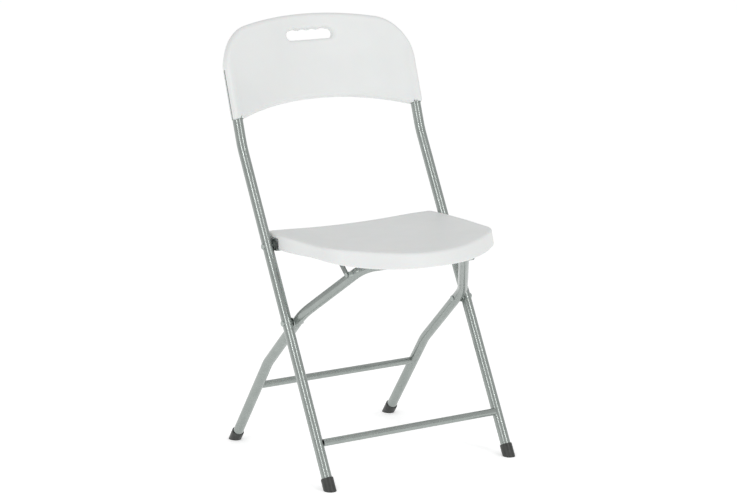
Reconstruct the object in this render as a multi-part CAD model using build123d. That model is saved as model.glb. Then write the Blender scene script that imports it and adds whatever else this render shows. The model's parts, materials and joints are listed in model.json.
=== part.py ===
from build123d import *
import math
import os

# Steel-tube folding chair with a blow-moulded seat and backrest.
#
# Millimetres, +Z up, +X to one side, the sitter faces -Y.  The origin is on the floor,
# under the middle of the chair's overall box.
#
# Two long tubes are front leg and back upright in one.  A rear leg frame, bent as one
# inverted U, crosses them at a rivet.  The seat turns on a second rivet in each long
# tube, and a flat link joins its underside to the rear leg frame.

# ---- driving dimensions -------------------------------------------------------------
TUBE_R = 10.0            # outer radius of the long tubes and the rear leg tube
TUBE_WALL = 1.2
BAR_R = 7.0              # outer radius of the two crossbars
LONG_X = 204.0           # half distance between the long tubes
REAR_X = 182.0           # half distance between the rear legs

# side view points, (y, z)
FRONT_FOOT = (-185.5, 0.0)
BACK_BEND = (125.1, 601.5)
BACK_LEAN = 18.1         # degrees, upper part of the long tubes from vertical
BACK_BEND_R = 160.0
BACK_TOP = 150.0         # length of the tube above its bend
REAR_FOOT = (209.3, 0.0)
REAR_KNEE = (75.1, 185.1)
REAR_HIP = (-57.4, 308.0)
CROSS_TUBE = (-161.1, 407.0)
REAR_BENDS = [70.0, 90.0, 38.0]  # bend radii at knee, hip and corner
CROSS_TUBE_X = 113.0     # half length of the part of the U under the seat
FRONT_BAR_Z = 81.0
FRONT_BAR_AHEAD = 4.0    # the front crossbar sits this far ahead of the tubes' centres
REAR_BAR_Z = 130.7

LEG_PIVOT_Z = 288.7      # rivet where the legs cross
SEAT_PIVOT_Z = 424.0     # rivet between long tube and seat
LINK_ON_SEAT = (-92.801, -9.5)   # link pivot on the seat, from the seat pivot
LINK_ON_LEG = 0.87       # link pivot on the rear leg, as a fraction from hip to cross tube

RIVET_R = 4.0
HEAD_R = 5.6
HEAD_RISE = 1.4
HEAD_ROUND = 1.0
TAIL_R = 5.0             # formed heads on the inner ends
TAIL_RISE = 1.4
SCREW_R = 2.0
SCREW_HEAD = 2.4
SCREW_LENGTH = 9.0
WASHER = 1.5
PIN_R = 3.0
RUNNING_GAP = 0.05       # radial clearance where a part turns on a rivet
SIDE_GAP = 0.3           # sideways clearance between parts that turn against each other
PLATE = 2.5              # thickness of brackets and links
LINK_X = 140.0           # inner face of the link
LINK_HALF_WIDTH = 5.5
LINK_ELBOW = (-126.0, 413.5)      # the link is cranked, to stay up beside the seat

CAP_R = 12.0             # foot caps
CAP_RISE = 24.0
CAP_SOLE = 11.0          # the tube ends this far above the sole, along the leg

SEAT_HALF_WIDTH = 190.5
SEAT_REAR = 79.9
SEAT_FRONT = -245.4
SEAT_FRONT_R = 262.0     # plan radius of the front edge
SEAT_TAPER_START = -11.6 # ahead of this the sides close in
SEAT_TAPER = 0.048
SEAT_FRONT_CORNER = 34.0 # plan radii where the front and the rear meet the sides
SEAT_REAR_CORNER = 8.0
SEAT_REAR_STRAIGHT = 125.0   # half length; outside it the rear edge sweeps forward
SEAT_REAR_R = 165.0
SEAT_APRON_END = -124.1  # the skirt has reached its full depth here
SEAT_RIM_Z = 418.0       # lower edge of the side skirts
SEAT_FRONT_DROP = 6.0    # the front skirt reaches this much lower at its middle
SEAT_SKIN_Z = 425.0      # underside of the panel inside the skirts
SEAT_RIM = 14.0          # width of the skirt
SEAT_TOP_Z = 436.0       # lowest point of the top surface
SEAT_SIDE_RISE = 13.0
SEAT_END_RISE = 2.0
SEAT_CORNER_RISE = 10.0  # added at the front corners
SEAT_MIDDLE = (SEAT_FRONT + SEAT_REAR) / 2
SEAT_BEAM_FRONT = -8.1    # ahead of this the underside is recessed
NOTCH = (17.4, 49.4)     # the sides are set in here, below the top, round the hinge
NOTCH_TOP_Z = 438.5
NOTCH_DEPTH = 7.5
SKIN = 3.0               # wall thickness of the blow-moulded shells

BACK_CROWN = 253.0       # top of the backrest, above the bend, along the tube
BACK_CROWN_R = 810.0
BACK_CORNER_R = 87.0
BACK_ARCH = 86.0         # middle of the lower edge
BACK_BOTTOM = 54.0       # lower edge beside the tubes
BACK_THICK = 18.0
BACK_HOLLOW = 26.0       # the front face's middle lies this far behind the tubes
SLEEVE_R = 11.5
BACK_SCREWS = (82.0, 132.0)      # heights of the screws behind each sleeve
HANDLE_V = 210.0
HANDLE_LENGTH = 106.0
HANDLE_HEIGHT = 19.0
FINGERS = 4
FINGER_PITCH = 22.0

os.makedirs("parts", exist_ok=True)


def write(name, shape):
    """Export one node, in the chair's own frame."""
    export_step(Compound(children=list(shape)) if isinstance(shape, list) else shape,
                f"parts/{name}.step")


def mirrored(shape):
    """The same piece, or list of pieces, on the other side of the chair."""
    return [mirrored(one) for one in shape] if isinstance(shape, list) else mirror(shape, about=Plane.YZ)


def write_pair(name, shape):
    """Export the piece at -X as NAME_left and its mirror image as NAME_right."""
    write(f"{name}_left", shape)
    write(f"{name}_right", mirrored(shape))


# ---- derived places -----------------------------------------------------------------
lower_slope = (BACK_BEND[0] - FRONT_FOOT[0]) / BACK_BEND[1]


def long_tube_y(z):
    """Y of the long tube's centre line at a height below its bend."""
    return FRONT_FOOT[0] + lower_slope * z


lean = math.radians(BACK_LEAN)
leg_pivot = (long_tube_y(LEG_PIVOT_Z), LEG_PIVOT_Z)
seat_pivot = (long_tube_y(SEAT_PIVOT_Z), SEAT_PIVOT_Z)
seat_link_pivot = (seat_pivot[0] + LINK_ON_SEAT[0], seat_pivot[1] + LINK_ON_SEAT[1])

hip = Vector(-REAR_X, *REAR_HIP)
corner = Vector(-CROSS_TUBE_X, *CROSS_TUBE)
leg_link = hip + (corner - hip) * LINK_ON_LEG
leg_tilt = math.acos((corner - hip).normalized().X)   # angle between that tube and X
leg_link_pivot = (leg_link.Y, leg_link.Z)


# ---- building blocks ----------------------------------------------------------------
def rod(x_from, x_to, at, radius):
    """A round bar along X between two x values, centred on a side view point."""
    length = abs(x_to - x_from)
    middle = (x_from + x_to) / 2
    return Pos(middle, *at) * Rot(0, 90, 0) * Cylinder(radius, length)


def dome(x_face, at, radius, height, outward):
    """A low rivet head standing on the plane x = x_face; outward is +1 or -1."""
    head = rod(x_face, x_face + outward * height, at, radius)
    rim = head.edges().sort_by(Axis.X)[-1 if outward > 0 else 0]
    return fillet(rim, HEAD_ROUND)


def saddle_head(x_face, at, outward, tube):
    """A rivet head whose underside is shaped to the tube, a solid bar, that it sits on."""
    return dome(x_face - outward * 4, at, HEAD_R, HEAD_RISE + 4, outward) - tube


def swept_bar(points, radii, radius):
    """A round bar along straight runs joined by arcs."""
    path = FilletPolyline(*points, radius=radii)
    start = Plane(origin=path @ 0, z_dir=path % 0)
    return sweep(start * Circle(radius), path=path)


def foot_cap(foot, above):
    """A rubber cap on the lower end of a leg, with its sole flat on the floor."""
    along = (above - foot).normalized()
    plane = Plane(origin=foot, z_dir=along)
    body = plane * Pos(0, 0, (CAP_RISE - CAP_R) / 2) * Cylinder(CAP_R, CAP_RISE + CAP_R)
    body = fillet(body.edges().group_by(Axis(foot, along))[-1], 1.2)
    bore = plane * Pos(0, 0, CAP_SOLE + CAP_RISE) * Cylinder(TUBE_R, 2 * CAP_RISE)
    above_floor = Pos(foot.X, foot.Y, 50) * Box(120, 120, 100)
    return (body - bore) & above_floor


def crossbar(half_length, at):
    """A straight tube between two legs, before its ends are coped round them."""
    return rod(-half_length, half_length, at, BAR_R) - rod(-half_length, half_length, at, BAR_R - TUBE_WALL)


def start_of(foot, above):
    """The end of a leg's tube, inside its cap."""
    return foot + (above - foot).normalized() * CAP_SOLE


# ---- long frame: two long tubes, front crossbar, caps, backrest -----------------------
front_foot = Vector(-LONG_X, *FRONT_FOOT)
back_bend = Vector(-LONG_X, *BACK_BEND)
back_top = back_bend + Vector(0, math.sin(lean), math.cos(lean)) * BACK_TOP
long_path = [start_of(front_foot, back_bend), back_bend, back_top]
long_bar = swept_bar(long_path, [BACK_BEND_R], TUBE_R)
long_tube = long_bar - swept_bar(long_path, [BACK_BEND_R], TUBE_R - TUBE_WALL)
for pivot in (leg_pivot, seat_pivot):
    long_tube -= rod(-LONG_X - 20, -LONG_X + 20, pivot, RIVET_R)

front_bar_at = (long_tube_y(FRONT_BAR_Z) - FRONT_BAR_AHEAD, FRONT_BAR_Z)
front_crossbar = crossbar(LONG_X - 8, front_bar_at)
for side in (-1, 1):
    foot = Vector(side * LONG_X, *FRONT_FOOT)
    bend = Vector(side * LONG_X, *BACK_BEND)
    plane = Plane(origin=foot, z_dir=bend - foot)
    front_crossbar -= plane * Pos(0, 0, 150) * Cylinder(TUBE_R, 300)

# the backrest's own frame: u = X, v up along the tubes, w behind them
back_plane = Plane(origin=(0, *BACK_BEND), x_dir=(1, 0, 0), z_dir=(0, -math.cos(lean), math.sin(lean)))
section_plane = Plane(origin=(0, *BACK_BEND), x_dir=(1, 0, 0), z_dir=(0, math.sin(lean), math.cos(lean)))


def back_section(inset):
    """Horizontal section of the backrest's panel: part of a ring between the two sleeves."""
    half = LONG_X - SLEEVE_R + 6
    edge_w = -SLEEVE_R + 5
    sag = BACK_HOLLOW - edge_w
    radius = (half ** 2 + sag ** 2) / (2 * sag)
    ring = Circle(radius + BACK_THICK - inset) - Circle(radius + inset)
    return Pos(0, BACK_HOLLOW - radius) * ring & Pos(0, BACK_HOLLOW) * Rectangle(2 * half, 120)


def back_outline(inset):
    """Front view of the backrest: crowned top, round corners, arched lower edge."""
    half = LONG_X + SLEEVE_R - inset
    crown = BACK_CROWN - inset
    side_v = crown - (BACK_CROWN_R - math.sqrt(BACK_CROWN_R ** 2 - half ** 2))
    arch = BACK_ARCH + inset
    base = BACK_BOTTOM + inset
    lines = [
        ThreePointArc((-half, side_v), (0, crown), (half, side_v)),
        Line((half, side_v), (half, base)),
        Line((half, base), (LONG_X - SLEEVE_R, base)),
        ThreePointArc((LONG_X - SLEEVE_R, base), (0, arch), (-LONG_X + SLEEVE_R, base)),
        Line((-LONG_X + SLEEVE_R, base), (-half, base)),
        Line((-half, base), (-half, side_v)),
    ]
    face = make_face(lines)
    top_corners = face.vertices().group_by(Axis.Y)[-1]
    return fillet(top_corners, BACK_CORNER_R - inset)


def handle_opening(grow):
    """The hand hole: a round-ended slot with finger hollows along its upper edge."""
    hole = SlotOverall(HANDLE_LENGTH + 2 * grow, HANDLE_HEIGHT + 2 * grow)
    first = -(FINGERS - 1) / 2 * FINGER_PITCH
    for finger in range(FINGERS):
        hole += Pos(first + finger * FINGER_PITCH, 0) * Circle(HANDLE_HEIGHT / 2 + 2.5 + grow)
    hole &= Pos(0, grow) * Rectangle(HANDLE_LENGTH + 2 * grow, 2 * (HANDLE_HEIGHT / 2 + 2.5 + grow))
    lower_trim = Pos(0, -HANDLE_HEIGHT - grow) * Rectangle(HANDLE_LENGTH * 2, HANDLE_HEIGHT)
    return Pos(0, HANDLE_V) * (hole - lower_trim)


def along_w(sketch):
    """A prism of a front view sketch, through the whole backrest."""
    return extrude(back_plane * sketch, amount=80, both=True)


def along_v(sketch, low, high):
    """A prism of a section sketch, from one height on the tubes to another."""
    return extrude(section_plane.offset(low) * sketch, amount=high - low)


section = back_section(0)
for side in (-1, 1):
    section += Pos(side * LONG_X, 0) * Circle(SLEEVE_R)
back_range = (BACK_BOTTOM - 30, BACK_CROWN + 10)
backrest = along_v(section, *back_range) & along_w(back_outline(0))
hollow = along_v(back_section(SKIN), *back_range) & along_w(back_outline(2 * SKIN))
hollow -= along_w(handle_opening(SKIN))
hollow &= Pos(0, *BACK_BEND) * Box(2 * (LONG_X - SLEEVE_R - SKIN), 600, 600)
backrest -= hollow
backrest -= along_w(handle_opening(0))
for side in (-1, 1):
    pocket = Pos(side * LONG_X, 0) * Circle(TUBE_R)
    backrest -= along_v(pocket, 0, BACK_TOP)
    for v in BACK_SCREWS:
        hole = back_plane * Pos(side * LONG_X, v, -SLEEVE_R) * Cylinder(SCREW_R, 2 * SLEEVE_R)
        backrest -= hole
        if side < 0:
            long_tube -= hole

# ---- rear leg frame -------------------------------------------------------------------
rear_foot = Vector(-REAR_X, *REAR_FOOT)
knee = Vector(-REAR_X, *REAR_KNEE)
left_half = [start_of(rear_foot, knee), knee, hip, corner]
right_half = [Vector(-p.X, p.Y, p.Z) for p in reversed(left_half)]
rear_path = left_half + right_half
rear_radii = REAR_BENDS + REAR_BENDS[::-1]
rear_leg_bar = swept_bar(rear_path, rear_radii, TUBE_R)
rear_leg_tube = rear_leg_bar - swept_bar(rear_path, rear_radii, TUBE_R - TUBE_WALL)
for side in (-1, 1):
    rear_leg_tube -= rod(side * (REAR_X - 20), side * (REAR_X + 20), leg_pivot, RIVET_R + RUNNING_GAP)
    rear_leg_tube -= rod(side * 90, side * 150, leg_link_pivot, PIN_R)

rear_bar_t = REAR_BAR_Z / REAR_KNEE[1]
rear_bar_at = (REAR_FOOT[0] + (REAR_KNEE[0] - REAR_FOOT[0]) * rear_bar_t, REAR_BAR_Z)
rear_crossbar = crossbar(REAR_X - 6, rear_bar_at)
for side in (-1, 1):
    foot = Vector(side * REAR_X, *REAR_FOOT)
    above = Vector(side * REAR_X, *REAR_KNEE)
    rear_crossbar -= Plane(origin=foot, z_dir=above - foot) * Pos(0, 0, 150) * Cylinder(TUBE_R, 300)

# ---- seat -----------------------------------------------------------------------------
def seat_outline(inset):
    """Plan of the seat: sides that close in to a round front, rounded corners."""
    half = SEAT_HALF_WIDTH
    front_half = half - SEAT_TAPER * (SEAT_TAPER_START - SEAT_FRONT)
    sides = Polygon((-half, SEAT_REAR), (-half, SEAT_TAPER_START), (-front_half, SEAT_FRONT),
                    (front_half, SEAT_FRONT), (half, SEAT_TAPER_START), (half, SEAT_REAR), align=None)
    bow = Pos(0, SEAT_REAR - SEAT_REAR_R) * Rectangle(2 * SEAT_REAR_STRAIGHT, 2 * SEAT_REAR_R)
    for side in (-1, 1):
        bow += Pos(side * SEAT_REAR_STRAIGHT, SEAT_REAR - SEAT_REAR_R) * Circle(SEAT_REAR_R)
    face = Pos(0, SEAT_FRONT + SEAT_FRONT_R) * Circle(SEAT_FRONT_R) & sides & bow
    rear_corners = face.vertices().filter_by(lambda v: abs(v.X) > half - 1 and v.Y > 0)
    face = fillet(rear_corners, SEAT_REAR_CORNER)
    face = fillet(face.vertices().group_by(Axis.Y)[0], SEAT_FRONT_CORNER)
    return offset(face, -inset) if inset else face


def top_z(x, y):
    """Height of the dished top surface: low in the middle, highest at the front corners."""
    across = (x / SEAT_HALF_WIDTH) ** 2
    along = ((y - SEAT_MIDDLE) / (SEAT_REAR - SEAT_MIDDLE)) ** 2
    ahead = along if y < SEAT_MIDDLE else 0.0
    return SEAT_TOP_Z + (SEAT_SIDE_RISE + SEAT_CORNER_RISE * ahead) * across + SEAT_END_RISE * along


def low_z(x, y):
    """Height of the front skirt's lower edge: bowed down in the middle."""
    ahead = min(max((SEAT_BEAM_FRONT - y) / (SEAT_BEAM_FRONT - SEAT_APRON_END), 0.0), 1.0)
    ease = ahead * ahead * (3 - 2 * ahead)
    return SEAT_RIM_Z - 0.1 - SEAT_FRONT_DROP * ease * (1 - (x / SEAT_HALF_WIDTH) ** 2)


def surface(height):
    """A smooth face through height(x, y), larger than the seat."""
    xs = [i * 50.0 for i in range(-5, 6)]
    ys = [SEAT_MIDDLE + j * 35.0 for j in range(-6, 7)]
    return Face.make_surface_from_array_of_points([[Vector(x, y, height(x, y)) for y in ys] for x in xs])


def prism(sketch, low, high):
    """A plan sketch as an upright solid between two heights."""
    return extrude(Pos(0, 0, low) * sketch, amount=high - low)


block = prism(seat_outline(0), SEAT_RIM_Z, SEAT_TOP_Z + 60)
seat = split(block, bisect_by=surface(top_z), keep=Keep.BOTTOM)
front_half = Pos(0, SEAT_BEAM_FRONT - 200) * Rectangle(600, 400)
apron = prism(seat_outline(0) & front_half, SEAT_RIM_Z - 2 * SEAT_FRONT_DROP, SEAT_RIM_Z)
seat += split(apron, bisect_by=surface(low_z), keep=Keep.TOP)
seat -= prism(seat_outline(SEAT_RIM) & front_half, SEAT_RIM_Z - 30, SEAT_SKIN_Z)
notch_middle = sum(NOTCH) / 2
for side in (-1, 1):
    notch = Pos(side * SEAT_HALF_WIDTH, notch_middle) * RectangleRounded(
        2 * NOTCH_DEPTH, NOTCH[1] - NOTCH[0], NOTCH_DEPTH - 0.5)
    seat -= prism(notch, SEAT_RIM_Z - 30, NOTCH_TOP_Z)
cavity = prism(seat_outline(SEAT_RIM), SEAT_SKIN_Z + SKIN, SEAT_TOP_Z + 40)
cavity = split(cavity, bisect_by=surface(lambda x, y: top_z(x, y) - SKIN), keep=Keep.BOTTOM)
seat -= cavity


# ---- brackets, links and rivets, made at -X and mirrored --------------------------------
def plate(x_face, outline):
    """A flat steel plate in the side plane; x_face is its face nearer the middle."""
    return extrude(Plane(origin=(-x_face, 0, 0), x_dir=(0, 1, 0), z_dir=(1, 0, 0)) * outline,
                   amount=-PLATE)


def bar_between(a, b, half_width):
    """A round-ended strip between two side view points, as a sketch."""
    length = math.dist(a, b) + 2 * half_width
    angle = math.degrees(math.atan2(b[1] - a[1], b[0] - a[0]))
    return Pos((a[0] + b[0]) / 2, (a[1] + b[1]) / 2) * Rot(0, 0, angle) * SlotOverall(length, 2 * half_width)


def screw(x, y, z_seat):
    """A pan head screw driven upwards into the seat; z_seat is the face under its head."""
    head = Pos(x, y, z_seat - SCREW_HEAD / 2) * Cylinder(2 * SCREW_R, SCREW_HEAD)
    head = fillet(head.edges().group_by(Axis.Z)[0], 0.8)
    head -= Pos(x, y, z_seat - SCREW_HEAD) * (Box(5, 1, 1.6) + Box(1, 5, 1.6))
    return head + Pos(x, y, z_seat + SCREW_LENGTH / 2) * Cylinder(SCREW_R, SCREW_LENGTH)


# hinge bracket: an ear beside the long tube, with a foot under the seat's side
ear_face = LONG_X - TUBE_R - WASHER - PLATE
ear_top = seat_pivot[1] + 10
foot_top = SEAT_RIM_Z
ear = Pos(seat_pivot[0], (ear_top + foot_top - PLATE) / 2) * RectangleRounded(26, ear_top - foot_top + PLATE, 1.0)
ear += Pos(*seat_pivot) * Circle(13)
ear &= Pos(seat_pivot[0], foot_top + 47.5) * Rectangle(60, 100)
hinge_bracket = plate(ear_face, ear)
bracket_foot = Pos(-ear_face + 19, seat_pivot[0], foot_top - PLATE / 2) * Box(38, 26, PLATE)
hinge_bracket += bracket_foot
hinge_bracket -= rod(-LONG_X, -REAR_X + 10, seat_pivot, RIVET_R + RUNNING_GAP)

seat_rivet = rod(-LONG_X - TUBE_R, -ear_face + SIDE_GAP, seat_pivot, RIVET_R)
seat_rivet += saddle_head(-LONG_X - TUBE_R - 0.4, seat_pivot, -1, long_bar)
seat_rivet += dome(-ear_face + SIDE_GAP, seat_pivot, TAIL_R, TAIL_RISE, 1)
seat_washer = rod(-LONG_X + TUBE_R, -ear_face - PLATE - SIDE_GAP, seat_pivot, 9.0)
seat_washer -= rod(-LONG_X, -REAR_X, seat_pivot, RIVET_R)

# cross rivet: long tube, spacer, rear leg tube
cross_tail = -REAR_X + TUBE_R + SIDE_GAP
cross_rivet = rod(-LONG_X - TUBE_R, cross_tail, leg_pivot, RIVET_R)
cross_rivet += saddle_head(-LONG_X - TUBE_R - 0.4, leg_pivot, -1, long_bar)
cross_rivet += dome(cross_tail, leg_pivot, HEAD_R, HEAD_RISE, 1)
cross_spacer = rod(-LONG_X + TUBE_R, -REAR_X - TUBE_R - SIDE_GAP, leg_pivot, 9.0)
cross_spacer -= rod(-LONG_X, -REAR_X, leg_pivot, RIVET_R)

# folding link between the seat's underside and the rear leg tube
strip = bar_between(seat_link_pivot, LINK_ELBOW, LINK_HALF_WIDTH)
strip += bar_between(LINK_ELBOW, leg_link_pivot, LINK_HALF_WIDTH)
fold_link = plate(LINK_X, strip)
fold_link -= rod(-LINK_X - 10, -LINK_X + 10, seat_link_pivot, PIN_R + RUNNING_GAP)
fold_link -= rod(-LINK_X - 10, -LINK_X + 10, leg_link_pivot, PIN_R)
link_outer = LINK_X + PLATE
link_stud = rod(-link_outer, -LINK_X, leg_link_pivot, PIN_R)
link_stud += dome(-link_outer, leg_link_pivot, TAIL_R, TAIL_RISE, -1)

# the stud's other half, on the rear leg: a rivet through the tube, and a sleeve
leg_inner = leg_link.X + TUBE_R / math.sin(leg_tilt)
leg_rivet = rod(-LINK_X + SIDE_GAP, leg_inner, leg_link_pivot, PIN_R)
leg_rivet += saddle_head(leg_inner + 0.2, leg_link_pivot, 1, rear_leg_bar)
leg_sleeve = rod(-LINK_X + SIDE_GAP, leg_link.X - 4, leg_link_pivot, HEAD_R) - rear_leg_bar
leg_sleeve -= rod(-LINK_X, -CROSS_TUBE_X, leg_link_pivot, PIN_R)

# link bracket: an ear outside the link, with a foot screwed under the seat
bracket_face = link_outer + SIDE_GAP
skin = SEAT_SKIN_Z
link_ear = Pos(*seat_link_pivot) * Circle(LINK_HALF_WIDTH)
link_ear += Pos(seat_link_pivot[0], (seat_link_pivot[1] + skin) / 2) * Rectangle(
    2 * LINK_HALF_WIDTH, skin - seat_link_pivot[1])
link_ear += Pos(seat_link_pivot[0], skin - PLATE / 2) * Rectangle(30, PLATE)
link_bracket = plate(bracket_face, link_ear)
link_bracket += Pos(-bracket_face - 14, seat_link_pivot[0], skin - PLATE / 2) * Box(28, 30, PLATE)
link_bracket -= rod(-bracket_face - 10, -bracket_face + 10, seat_link_pivot, PIN_R)
link_rivet = rod(-bracket_face - PLATE, -LINK_X + SIDE_GAP, seat_link_pivot, PIN_R)
link_rivet += dome(-bracket_face - PLATE, seat_link_pivot, TAIL_R, TAIL_RISE, -1)
link_rivet += dome(-LINK_X + SIDE_GAP, seat_link_pivot, TAIL_R, TAIL_RISE, 1)

# screws, with their holes in bracket and seat
hinge_screws = [screw(-x, seat_pivot[0], foot_top - PLATE) for x in (160.0, 174.0)]
link_screws = [screw(-bracket_face - 19, seat_link_pivot[0] + dy, skin - PLATE) for dy in (-9.0, 9.0)]
for one in hinge_screws:
    hinge_bracket -= one
for one in link_screws:
    link_bracket -= one
for one in hinge_screws + link_screws:
    seat = seat - one - mirrored(one)

back_screws = []
for v in BACK_SCREWS:
    place = back_plane * Pos(-LONG_X, v, -SLEEVE_R)
    head = place * Pos(0, 0, -SCREW_HEAD / 2) * Cylinder(2 * SCREW_R, SCREW_HEAD)
    back_screws.append(head + place * Pos(0, 0, SCREW_LENGTH / 2) * Cylinder(SCREW_R, SCREW_LENGTH))

# ---- export ---------------------------------------------------------------------------
write_pair("long_tube", long_tube)
write("front_crossbar", front_crossbar)
write("backrest", backrest)
write_pair("backrest_screws", back_screws)
write_pair("front_foot_cap", foot_cap(front_foot, back_bend))
write("rear_leg_tube", rear_leg_tube)
write("rear_crossbar", rear_crossbar)
write_pair("rear_foot_cap", foot_cap(rear_foot, knee))
write_pair("cross_rivet", cross_rivet)
write_pair("cross_spacer", cross_spacer)
write("seat", seat)
write_pair("seat_hinge_bracket", hinge_bracket)
write_pair("seat_hinge_screws", hinge_screws)
write_pair("seat_rivet", seat_rivet)
write_pair("seat_washer", seat_washer)
write_pair("link_bracket", link_bracket)
write_pair("link_bracket_screws", link_screws)
write_pair("link_rivet", link_rivet)
write_pair("fold_link", fold_link)
write_pair("link_stud", link_stud)
write_pair("leg_rivet", leg_rivet)
write_pair("leg_sleeve", leg_sleeve)
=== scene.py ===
import json
import math

import bpy
import numpy as np
import openvdb
from mathutils import Matrix, Vector


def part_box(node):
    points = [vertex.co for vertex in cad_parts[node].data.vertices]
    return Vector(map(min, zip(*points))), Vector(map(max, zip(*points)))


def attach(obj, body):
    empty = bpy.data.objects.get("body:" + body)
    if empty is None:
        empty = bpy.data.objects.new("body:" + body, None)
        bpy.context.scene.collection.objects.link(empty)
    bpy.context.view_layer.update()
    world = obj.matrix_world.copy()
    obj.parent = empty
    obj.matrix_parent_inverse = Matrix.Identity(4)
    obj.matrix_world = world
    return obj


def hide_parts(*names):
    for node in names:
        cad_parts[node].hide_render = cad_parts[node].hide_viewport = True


# Looks for a folding chair: steel tube frame, blow-moulded seat and backrest.
# Metres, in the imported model's frame: +Z up, the sitter faces -Y.

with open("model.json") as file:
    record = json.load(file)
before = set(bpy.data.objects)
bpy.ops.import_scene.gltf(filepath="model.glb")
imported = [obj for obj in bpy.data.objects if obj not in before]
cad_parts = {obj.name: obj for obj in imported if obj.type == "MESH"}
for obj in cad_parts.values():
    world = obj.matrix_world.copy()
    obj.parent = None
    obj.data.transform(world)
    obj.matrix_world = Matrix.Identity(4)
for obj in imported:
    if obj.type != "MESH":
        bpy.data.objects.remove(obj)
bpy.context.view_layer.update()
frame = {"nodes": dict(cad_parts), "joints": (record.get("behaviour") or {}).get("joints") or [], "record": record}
joints = {joint["name"]: joint for joint in frame["joints"]}

# ---- sizes of the visible mouldings ---------------------------------------------------
TUBE_R = 0.010            # long tubes
MESH_STEP = 0.0017        # grid step of the moulded shells
MESH_MARGIN = 3           # steps between a shell's limits and its grid's
FIT_ROUNDS = 4            # moves of the mesh onto the exact surface

BACK_LEAN = math.radians(18.1)
BACK_HALF = 0.2150        # half width of the panel
BACK_MESH_HALF = 0.2175   # limits of its mesh, to the sides and behind
BACK_MESH_DEPTH = 0.045
BACK_TUBE = 0.150         # the tubes reach this far up from their bend
BACK_CROWN = 0.2527       # top of the backrest, from the bend, along the tubes
BACK_CROWN_R = 0.622
BACK_CORNER_R = 0.066
BACK_ARCH = 0.0845        # middle of the lower edge
BACK_BASE = 0.052         # lower edge at the sleeves
BACK_MIDDLE_W = 0.034     # the panel's middle is this far behind the tubes, at the lower edge
BACK_FLATTER = 0.048      # and this much less far, per metre up
BACK_BOW = 1.8            # exponent of its section
BACK_HALF_THICK = 0.009   # in the middle
BACK_THICKER = 0.0025     # added at the sleeves
BACK_LOWER_R = 0.004      # where the outline meets the lower edge
BACK_EDGE_R = 0.0085
SLEEVE_R = 0.0112
SLEEVE_FADE = 0.150       # the sleeves' bulge fades above this
SLEEVE_TAPER = 0.45       # how fast it fades
SLEEVE_CLIP = 0.002       # a sleeve may stand out of the panel's outline by this much
SLEEVE_FILLET = 0.0025
SLEEVE_EDGE_R = 0.002
POCKET_GAP = 0.0003       # round each tube, inside its sleeve
POCKET_EDGE_R = 0.0006
HAND_V = 0.210            # hand hole: height, half length of its straight part, radius
HAND_STRAIGHT = 0.0435
HAND_R = 0.0095
HAND_LIP = 0.0065
FINGERS = 4               # hollows along its upper edge
FINGER_PITCH = 0.022
FINGER_R = 0.0118
FINGER_EDGE_R = 0.001
FINGER_FILLET = 0.003

SEAT_HALF = 0.1905
SEAT_MESH_HALF = 0.192    # limit of its mesh
SEAT_RIM_BELOW = 0.006    # the side skirts' lower edge, below the hinge
SEAT_SKIN_RISE = 0.007    # ceiling of the underside's recess, above that edge
SEAT_DISH_RISE = 0.018    # lowest point of the top, above that edge
SEAT_APRON_END = 0.121    # distances from the front: the skirt has reached its full depth
SEAT_BEAM_FRONT = 0.237   # the recess ends
RIB_FIRST = 0.075         # the first rib
SEAT_FLARE_START = 0.181  # the skirt starts to slope
SEAT_FRONT_R = 0.262      # plan radius of the front edge
SEAT_FRONT_BACK = 0.003   # from the box's front to the front edge, level with the side skirts' lower edge
SEAT_CORNER_R = 0.022     # plan radius where it meets the sides
SEAT_REAR_CORNER_R = 0.009
SEAT_REAR_STRAIGHT = 0.125
SEAT_REAR_R = 0.165       # outside that the rear edge sweeps forward
SEAT_TAPER = 0.020        # the sides close in towards the front
SEAT_TAPER_START = 0.045  # from this far ahead of the hinge
SEAT_SIDE_RISE = 0.013    # the dished top: rises at sides, ends and corners
SEAT_END_RISE = 0.0026
SEAT_FRONT_CORNER_RISE = 0.010
SEAT_REAR_CORNER_DROP = 0.0055
SEAT_BOW = 0.0075         # the front skirt reaches this much lower in its middle
SEAT_BOW_LIFT = 0.011     # and rises by this much from there to its ends
SEAT_BOW_HALF = 0.178     # which are this far from the middle
SEAT_FLARE = 0.30         # slope of the front skirt
SEAT_FLARE_LENGTH = 0.16
SEAT_RIM_W = 0.014
SEAT_EDGE_R = 0.0045
SEAT_RIM_R = 0.0028
RECESS_TOP_R = 0.005
RECESS_END_R = 0.006
RECESS_RIM_R = 0.003
RIBS = 4                  # round ribs across the seat's underside
RIB_PITCH = 0.040
RIB_R = 0.0052
RIB_SUNK = 0.0012         # a rib's centre is this far under the recess's ceiling
RIB_HALF = 0.105
RIB_END_R = 0.004
RIB_FILLET = 0.002
NOTCH_STRAIGHT = 0.0085   # the sides are set in round the hinge
NOTCH_R = 0.0075
NOTCH_TOP = 0.0145        # above the hinge
NOTCH_TOP_R = 0.003
NOTCH_EDGE_R = 0.002


# ---- rounded solids from distance fields ----------------------------------------------
def rounded_and(a, b, radius):
    """Intersection of two fields with a convex edge of that radius."""
    outside = np.hypot(np.maximum(a + radius, 0), np.maximum(b + radius, 0))
    return np.minimum(np.maximum(a, b), -radius) + outside


def rounded_or(a, b, radius):
    """Union of two fields with a concave fillet of that radius."""
    inside = np.hypot(np.maximum(radius - a, 0), np.maximum(radius - b, 0))
    return np.maximum(np.minimum(a, b), radius) - inside


def smooth_step(x):
    x = np.clip(x, 0.0, 1.0)
    return x * x * (3 - 2 * x)


def gradient(field, points, step=1e-4):
    """Central differences of a field at an array of points."""
    out = np.empty_like(points)
    for axis in range(3):
        shift = np.zeros(3)
        shift[axis] = step
        out[:, axis] = (field(*(points + shift).T) - field(*(points - shift).T)) / (2 * step)
    return out


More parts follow.
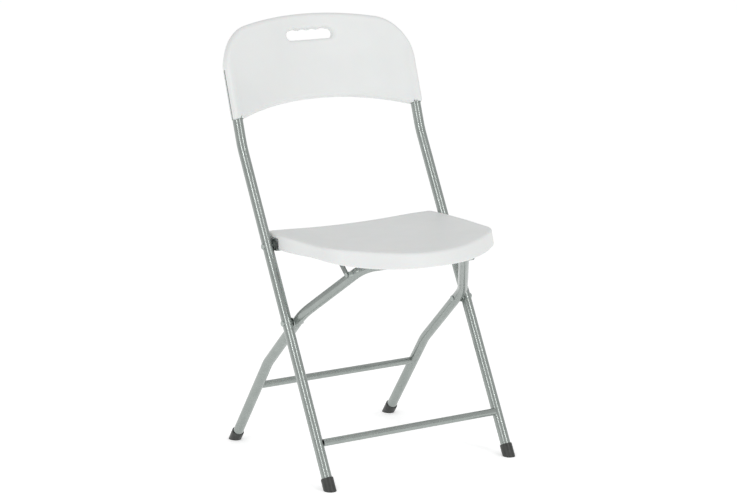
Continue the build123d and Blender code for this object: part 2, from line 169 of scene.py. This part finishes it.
def mesh_of(name, field, low, high, place):
    """A closed quad mesh of field = 0, fitted to the field exactly, then moved by place."""
    low = np.array(low, float) - MESH_MARGIN * MESH_STEP
    counts = np.ceil((np.array(high) - low) / MESH_STEP).astype(int) + MESH_MARGIN + 1
    axes = [low[i] + MESH_STEP * np.arange(counts[i]) for i in range(3)]
    x, y, z = np.meshgrid(*axes, indexing="ij", sparse=True)
    grid = openvdb.FloatGrid(1.0)
    grid.copyFromArray(np.ascontiguousarray(np.broadcast_to(field(x, y, z), counts), dtype=np.float32))
    points, quads = grid.convertToQuads(0.0)
    points = points.astype(float) * MESH_STEP + low
    for _ in range(FIT_ROUNDS):
        slope = gradient(field, points)
        steepness = np.maximum((slope ** 2).sum(1), 0.2)
        value = np.clip(field(*points.T), -MESH_STEP, MESH_STEP)
        points -= slope * (value / steepness)[:, None]
    mesh = bpy.data.meshes.new(name)
    mesh.from_pydata([place @ Vector(p) for p in points], [], quads[:, ::-1].tolist())
    mesh.polygons.foreach_set("use_smooth", np.ones(len(mesh.polygons), bool))
    mesh.update()
    piece = bpy.data.objects.new(name, mesh)
    bpy.context.scene.collection.objects.link(piece)
    return piece


# ---- backrest --------------------------------------------------------------------------
def backrest_outline(u, v):
    """Front view: crowned top, round corners, arched lower edge."""
    crown = np.hypot(u, v - (BACK_CROWN - BACK_CROWN_R)) - BACK_CROWN_R
    sides = np.abs(u) - BACK_HALF
    arch_rise = BACK_ARCH - BACK_BASE
    arch_half = tube_x - SLEEVE_R
    arch_r = (arch_half ** 2 + arch_rise ** 2) / (2 * arch_rise)
    arch = arch_r - np.hypot(u, v - (BACK_ARCH - arch_r))
    lower = np.maximum(arch, BACK_BASE - v)
    return rounded_and(crown, sides, BACK_CORNER_R), lower


def hand_hole(u, v):
    """A round-ended slot with finger hollows along its upper edge."""
    slot = np.hypot(np.maximum(np.abs(u) - HAND_STRAIGHT, 0), v - HAND_V) - HAND_R
    nearest = np.clip(np.round(u / FINGER_PITCH - 0.5), -FINGERS // 2, FINGERS // 2 - 1) + 0.5
    finger = np.hypot(u - nearest * FINGER_PITCH, v - HAND_V) - FINGER_R
    finger = rounded_and(finger, HAND_V - v, FINGER_EDGE_R)
    return rounded_or(slot, finger, FINGER_FILLET)


def backrest_field(u, v, w):
    """u across, v up along the tubes, w behind them."""
    top, lower = backrest_outline(u, v)
    side = np.abs(u) / tube_x
    bow = BACK_MIDDLE_W - BACK_FLATTER * (v - BACK_ARCH)
    tilt = bow * BACK_BOW * side ** (BACK_BOW - 1) / tube_x
    panel = np.abs(w - bow * (1 - side ** BACK_BOW)) / np.sqrt(1 + tilt ** 2)
    panel = panel - BACK_HALF_THICK - BACK_THICKER * side ** 2
    outline = rounded_and(top, lower, BACK_LOWER_R)
    panel = rounded_and(panel, outline, BACK_EDGE_R)
    panel = rounded_and(panel, -hand_hole(u, v), HAND_LIP)
    beside = np.abs(u) - tube_x
    reach = np.maximum(v - SLEEVE_FADE, 0)
    sleeve = np.sqrt(beside ** 2 + w ** 2 + (SLEEVE_TAPER * reach) ** 2) - SLEEVE_R
    sleeve = rounded_and(sleeve, np.maximum(top - SLEEVE_CLIP, BACK_BASE - v), SLEEVE_EDGE_R)
    shell = rounded_or(panel, sleeve, SLEEVE_FILLET)
    pocket = np.maximum(np.hypot(beside, w) - TUBE_R - POCKET_GAP, v - BACK_TUBE)
    return rounded_and(shell, -pocket, POCKET_EDGE_R)


# ---- seat ------------------------------------------------------------------------------
def seat_outline(x, y, inset):
    """Plan: sides that close in to a round front, rear edge swept forward at its ends."""
    arc = np.hypot(x, y - (seat_low.y + SEAT_FRONT_BACK + SEAT_FRONT_R)) - SEAT_FRONT_R
    taper = SEAT_TAPER * (seat_pivot.y - SEAT_TAPER_START - y)
    sides = np.abs(x) - SEAT_HALF + np.maximum(taper, 0)
    body = rounded_and(arc + inset, sides + inset, SEAT_CORNER_R)
    aside = np.maximum(np.abs(x) - SEAT_REAR_STRAIGHT, 0)
    sweep = np.hypot(aside, np.maximum(y - seat_high.y + SEAT_REAR_R, 0))
    return rounded_and(body, sweep - SEAT_REAR_R + inset, SEAT_REAR_CORNER_R)


def seat_top(x, y):
    """The dished top: low in the middle, highest at the front corners."""
    across = (x / SEAT_HALF) ** 2
    along = ((y - seat_middle) / (seat_high.y - seat_middle)) ** 2
    corners = np.where(y < seat_middle, SEAT_FRONT_CORNER_RISE, -SEAT_REAR_CORNER_DROP) * along
    return seat_dish + (SEAT_SIDE_RISE + corners) * across + SEAT_END_RISE * along


def seat_ribs(x, y, z):
    """Round ribs across the ceiling of the underside's recess."""
    nearest = np.clip(np.round((y - rib_first) / RIB_PITCH), 0, RIBS - 1)
    rib = np.hypot(y - rib_first - nearest * RIB_PITCH, z - skin_z + RIB_SUNK) - RIB_R
    return rounded_and(rib, np.abs(x) - RIB_HALF, RIB_END_R)


def seat_field(x, y, z):
    """A rolled, flared skirt under a dished top, a ribbed recess, notches at the hinges."""
    ahead = smooth_step((beam_front - y) / (beam_front - front_join))
    rim = rim_z + ahead * (SEAT_BOW_LIFT * (np.abs(x) / SEAT_BOW_HALF) ** 3 - SEAT_BOW)
    flare = SEAT_FLARE * smooth_step((flare_start - y) / SEAT_FLARE_LENGTH)
    side = (seat_outline(x, y, 0.0) + flare * (z - rim_z)) / np.sqrt(1 + flare ** 2)
    shell = rounded_and(side, z - seat_top(x, y), SEAT_EDGE_R)
    shell = rounded_and(shell, rim - z, SEAT_RIM_R)
    recess = rounded_and(seat_outline(x, y, SEAT_RIM_W), z - skin_z, RECESS_TOP_R)
    recess = rounded_and(recess, y - beam_front, RECESS_END_R)
    recess = rounded_or(recess, seat_ribs(x, y, z), RIB_FILLET)
    shell = rounded_and(shell, -recess, RECESS_RIM_R)
    beside_hinge = np.maximum(np.abs(y - seat_pivot.y) - NOTCH_STRAIGHT, 0)
    notch = np.hypot(beside_hinge, np.abs(x) - SEAT_HALF) - NOTCH_R
    notch = rounded_and(notch, z - seat_pivot.z - NOTCH_TOP, NOTCH_TOP_R)
    return rounded_and(shell, -notch, NOTCH_EDGE_R)


# ---- placing ---------------------------------------------------------------------------
tube_low, tube_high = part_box("long_tube_right")
tube_x = (tube_low.x + tube_high.x) / 2
up_tube = Vector((0, math.sin(BACK_LEAN), math.cos(BACK_LEAN)))
behind = Vector((0, math.cos(BACK_LEAN), -math.sin(BACK_LEAN)))
tube_end = Vector((0, tube_high.y - TUBE_R * up_tube.z, tube_high.z - TUBE_R * up_tube.y))
back_place = Matrix.Translation(tube_end - up_tube * BACK_TUBE) @ Matrix((
    (1, 0, 0, 0),
    (0, up_tube.y, behind.y, 0),
    (0, up_tube.z, behind.z, 0),
    (0, 0, 0, 1)))

seat_low, seat_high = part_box("seat")
seat_middle = (seat_low.y + seat_high.y) / 2
seat_pivot = Vector(joints["seat_fold"]["pos_m"])
rim_z = seat_pivot.z - SEAT_RIM_BELOW
skin_z = rim_z + SEAT_SKIN_RISE
seat_dish = rim_z + SEAT_DISH_RISE
front_join = seat_low.y + SEAT_APRON_END
beam_front = seat_low.y + SEAT_BEAM_FRONT
rib_first = seat_low.y + RIB_FIRST
flare_start = seat_low.y + SEAT_FLARE_START

backrest = mesh_of(
    "backrest_shell", backrest_field,
    (-BACK_MESH_HALF, BACK_BASE, -SLEEVE_R), (BACK_MESH_HALF, BACK_CROWN, BACK_MESH_DEPTH), back_place)
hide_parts("backrest")
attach(backrest, "long_frame")

seat = mesh_of(
    "seat_shell", seat_field,
    (-SEAT_MESH_HALF, seat_low.y, seat_low.z), (SEAT_MESH_HALF, seat_high.y, seat_high.z), Matrix())
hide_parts("seat")
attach(seat, "seat")


# ---- materials -------------------------------------------------------------------------
def new_material(name, **sockets):
    """A material with its uniform values on the shader's own sockets."""
    material = bpy.data.materials.new(name)
    material.use_nodes = True
    shader = material.node_tree.nodes["Principled BSDF"]
    for socket, value in sockets.items():
        shader.inputs[socket.replace("_", " ")].default_value = value
    return material


def add_node(material, kind, inputs=None, **settings):
    node = material.node_tree.nodes.new(kind)
    for name, value in settings.items():
        setattr(node, name, value)
    for name, value in (inputs or {}).items():
        if isinstance(value, bpy.types.NodeSocket):
            material.node_tree.links.new(value, node.inputs[name])
        else:
            node.inputs[name].default_value = value
    return node


def noise(material, place, scale, detail=3.0):
    inputs = {"Vector": place, "Scale": scale, "Detail": detail}
    return add_node(material, "ShaderNodeTexNoise", inputs).outputs["Fac"]


def spread(material, value, low, high):
    """Maps a noise value from about 0.35-0.65 to low-high."""
    inputs = {"Value": value, "From Min": 0.35, "From Max": 0.65, "To Min": low, "To Max": high}
    return add_node(material, "ShaderNodeMapRange", inputs).outputs["Result"]


def blend_colours(material, factor, first, second):
    """A mix of two colours; 0, 6, 7 and 2 are the node's factor, colour and result sockets."""
    node = add_node(material, "ShaderNodeMix", data_type="RGBA")
    material.node_tree.links.new(factor, node.inputs[0])
    node.inputs[6].default_value = (*first, 1)
    node.inputs[7].default_value = (*second, 1)
    return node.outputs[2]


def mottled(name, light, dark, mottle, gloss, grain, **sockets):
    """A material with procedural colour variation, uneven gloss and a fine bump.

    mottle is the (scale, detail) of the colour's noise, gloss is the (scale, lowest,
    highest) of the roughness, grain is the (scale, detail, depth in metres) of the bump.
    """
    material = new_material(name, **sockets)
    shader = material.node_tree.nodes["Principled BSDF"]
    links = material.node_tree.links
    place = add_node(material, "ShaderNodeTexCoord").outputs["Object"]
    blend = spread(material, noise(material, place, *mottle), 0, 1)
    links.new(blend_colours(material, blend, light, dark), shader.inputs["Base Color"])
    scale, lowest, highest = gloss
    roughness = spread(material, noise(material, place, scale), lowest, highest)
    links.new(roughness, shader.inputs["Roughness"])
    scale, detail, depth = grain
    bump = {"Height": noise(material, place, scale, detail), "Distance": depth, "Strength": 1.0}
    links.new(add_node(material, "ShaderNodeBump", bump).outputs["Normal"], shader.inputs["Normal"])
    return material


def powder_coat(name, light, dark):
    """Gloss powder coat on steel: orange peel, faint mottling."""
    return mottled(
        name, light, dark, mottle=(38.0, 3.0), gloss=(90.0, 0.18, 0.28), grain=(700.0, 1.0, 0.00006),
        Metallic=0.75, Coat_Weight=0.35, Coat_Roughness=0.10)


tube_paint = powder_coat("tube_paint", (0.335, 0.365, 0.348), (0.312, 0.342, 0.326))
rivet_paint = powder_coat("rivet_paint", (0.42, 0.46, 0.44), (0.36, 0.40, 0.38))
# The brackets get a darker copy of the tube's powder coat: painted shade, standing in for the shadow they sit in
# under the seat.
bracket_paint_painted_shade = powder_coat("bracket_paint_painted_shade", (0.20, 0.22, 0.21), (0.16, 0.18, 0.17))
screw_zinc = mottled(
    "screw_zinc", (0.62, 0.62, 0.60), (0.50, 0.51, 0.50),
    mottle=(300.0, 3.0), gloss=(500.0, 0.26, 0.40), grain=(2000.0, 3.0, 0.00002), Metallic=1.0)
cap_rubber = mottled(
    "cap_rubber", (0.028, 0.030, 0.028), (0.045, 0.047, 0.044),
    mottle=(120.0, 3.0), gloss=(200.0, 0.30, 0.42), grain=(1200.0, 3.0, 0.00004))
shell_plastic = mottled(
    "white_plastic_shell", (0.790, 0.804, 0.798), (0.765, 0.781, 0.775),
    mottle=(9.0, 4.0), gloss=(30.0, 0.40, 0.50), grain=(1400.0, 2.0, 0.00005),
    Subsurface_Weight=0.06, Subsurface_Scale=0.004)

by_slot = {
    "powder_coated_steel": tube_paint,
    "white_plastic": shell_plastic,
    "black_rubber": cap_rubber,
    # the zinc brackets take that darker copy of the powder coat, a painted shade
    "zinc_bracket": bracket_paint_painted_shade,
    "zinc_screw": screw_zinc,
    "steel_rivet": rivet_paint,
}
for part in frame["record"]["subparts"]:
    cad_piece = frame["nodes"][part["node"]]
    cad_piece.data.materials.clear()
    cad_piece.data.materials.append(by_slot[part["material_slot"]])
for piece in (backrest, seat):
    piece.data.materials.append(shell_plastic)


# ---- floor, light, camera ---------------------------------------------------------------
FLOOR_HALF = 40.0
LIGHT_TARGET = Vector((0, 0, 0.45))
CAMERA_PLACE = (-2.4568, -3.8355, 1.3541)
CAMERA_AZIMUTH = math.radians(-32.651)
CAMERA_ELEVATION = math.radians(11.892)
CAMERA_ROLL = math.radians(-0.166)
CAMERA_LENS = 118.14      # millimetres, on a 36 mm wide sensor


def toward(azimuth, elevation):
    """Unit vector from the chair in a direction round it; azimuth 0 is in front."""
    level = math.cos(elevation)
    return Vector((math.sin(azimuth) * level, -math.cos(azimuth) * level, math.sin(elevation)))


def add_floor():
    """A pale, slightly glowing floor, so that it stays white under the soft light."""
    half = FLOOR_HALF
    mesh = bpy.data.meshes.new("floor")
    corners = [(-half, -half, 0), (half, -half, 0), (half, half, 0), (-half, half, 0)]
    mesh.from_pydata(corners, [], [(0, 1, 2, 3)])
    floor = bpy.data.objects.new("floor", mesh)
    bpy.context.scene.collection.objects.link(floor)
    mesh.materials.append(new_material(
        "floor_white", Base_Color=(0.93, 0.93, 0.93, 1), Roughness=0.9,
        Emission_Color=(1, 1, 1, 1), Emission_Strength=0.36))


def add_softbox(name, azimuth, elevation, distance, width, height, power):
    """A soft light that faces the chair; its angles are in degrees."""
    direction = toward(math.radians(azimuth), math.radians(elevation))
    light = bpy.data.lights.new(name, "AREA")
    light.shape = "RECTANGLE"
    light.size, light.size_y = width, height
    light.energy = power
    lamp = bpy.data.objects.new(name, light)
    lamp.location = LIGHT_TARGET + direction * distance
    lamp.rotation_euler = direction.to_track_quat("Z", "Y").to_euler()
    bpy.context.scene.collection.objects.link(lamp)


def add_world(colour, strength):
    world = bpy.data.worlds.new("studio")
    world.use_nodes = True
    background = world.node_tree.nodes["Background"]
    background.inputs["Color"].default_value = (*colour, 1)
    background.inputs["Strength"].default_value = strength
    bpy.context.scene.world = world


def add_camera():
    """The camera stands where the photographer stood: front left, a little above the seat."""
    back = toward(CAMERA_AZIMUTH, CAMERA_ELEVATION).to_track_quat("Z", "Y").to_matrix()
    data = bpy.data.cameras.new("camera")
    data.sensor_width = 36.0
    data.lens = CAMERA_LENS
    data.clip_end = 200.0
    camera = bpy.data.objects.new("camera", data)
    camera.location = CAMERA_PLACE
    camera.rotation_euler = (back @ Matrix.Rotation(CAMERA_ROLL, 3, "Z")).to_euler()
    bpy.context.scene.collection.objects.link(camera)
    bpy.context.scene.camera = camera


bpy.context.scene.view_settings.view_transform = "Standard"
add_floor()
add_world((1.0, 1.0, 1.0), 0.70)
add_softbox("strip_left", azimuth=-61.6, elevation=27.0, distance=3.2, width=0.13, height=1.9, power=13.0)
add_softbox("strip_right", azimuth=14.4, elevation=27.0, distance=3.2, width=0.13, height=1.9, power=13.0)
add_camera()
